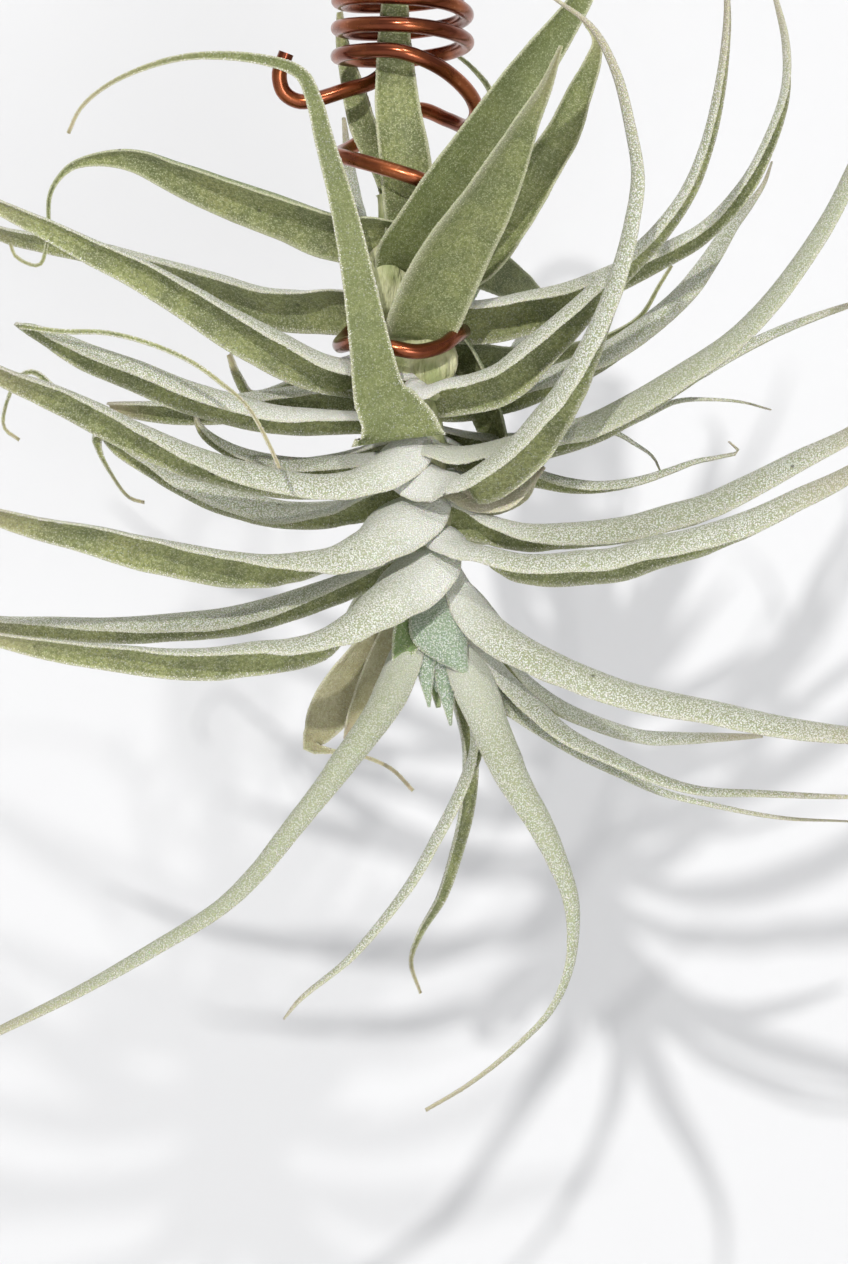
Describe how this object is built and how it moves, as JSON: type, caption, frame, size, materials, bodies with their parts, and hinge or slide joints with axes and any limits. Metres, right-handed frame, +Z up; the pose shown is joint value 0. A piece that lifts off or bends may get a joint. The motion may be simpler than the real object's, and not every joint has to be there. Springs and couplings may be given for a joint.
{
  "type": "air plant",
  "caption": "Long-stemmed silvery air plant held upside down in a hanging coil of copper-coloured wire, with recurved channelled leaves.",
  "frame": {"origin": "inside top of the hanging loop, where a hook carries the plant", "axes": "+Z up; seen from the front along +Y, +X is to the right"},
  "size_m": [0.2185, 0.1372, 0.2558],
  "materials": {
    "copper_wire": "dark copper-coloured lacquered wire, satin, with bright streaks along its length",
    "stem_skin": "pale matt plant stem",
    "silver_leaf": "matt green leaf under a coat of fine silver scales",
    "green_leaf": "matt green leaf, thinly scaled",
    "dry_leaf": "matt dry leaf, brown",
    "young_leaf": "matt young leaf, cool green"
  },
  "bodies": {
    "root": {"growing_tip": "young_leaf", "leaf_down_beige": "dry_leaf", "leaf_down_brown": "dry_leaf", "leaf_down_left": "silver_leaf", "leaf_down_olive": "silver_leaf", "leaf_down_right": "silver_leaf", "leaf_down_thin": "silver_leaf", "leaf_far_1": "silver_leaf", "leaf_far_10": "silver_leaf", "leaf_far_2": "silver_leaf", "leaf_far_3": "silver_leaf", "leaf_far_4": "silver_leaf", "leaf_far_5": "silver_leaf", "leaf_far_6": "silver_leaf", "leaf_far_7": "silver_leaf", "leaf_far_8": "silver_leaf", "leaf_far_9": "silver_leaf", "leaf_left_back_hook": "silver_leaf", "leaf_left_blunt_back": "silver_leaf", "leaf_left_eighth_front": "silver_leaf", "leaf_left_fifth_back": "silver_leaf", "leaf_left_folded_tip": "silver_leaf", "leaf_left_fourth_front": "silver_leaf", "leaf_left_over_stem": "silver_leaf", "leaf_left_pale_back": "silver_leaf", "leaf_left_second_back": "silver_leaf", "leaf_left_seventh_back": "silver_leaf", "leaf_left_sixth_front": "silver_leaf", "leaf_left_thin_curl": "silver_leaf", "leaf_left_third": "silver_leaf", "leaf_left_top": "green_leaf", "leaf_right_back_long": "silver_leaf", "leaf_right_curled_tip": "silver_leaf", "leaf_right_dark_back": "green_leaf", "leaf_right_dark_second_back": "green_leaf", "leaf_right_dry_small": "dry_leaf", "leaf_right_fifth_front": "silver_leaf", "leaf_right_first": "silver_leaf", "leaf_right_fourth": "silver_leaf", "leaf_right_loop_front": "silver_leaf", "leaf_right_low": "silver_leaf", "leaf_right_low_back": "silver_leaf", "leaf_right_low_pair_lower": "silver_leaf", "leaf_right_low_pair_upper": "silver_leaf", "leaf_right_second_front": "silver_leaf", "leaf_right_short_back": "green_leaf", "leaf_right_thin_drooping": "silver_leaf", "leaf_right_thin_middle": "silver_leaf", "leaf_right_thin_upper": "silver_leaf", "leaf_right_third": "silver_leaf", "leaf_up_in_coil": "green_leaf", "leaf_up_left_back": "green_leaf", "leaf_up_right_back": "green_leaf", "leaf_up_right_front": "green_leaf", "leaf_up_right_second": "green_leaf", "leaf_up_thin_back": "green_leaf", "stem": "stem_skin", "wire_hanger": "copper_wire"}
  },
  "joints": []
}
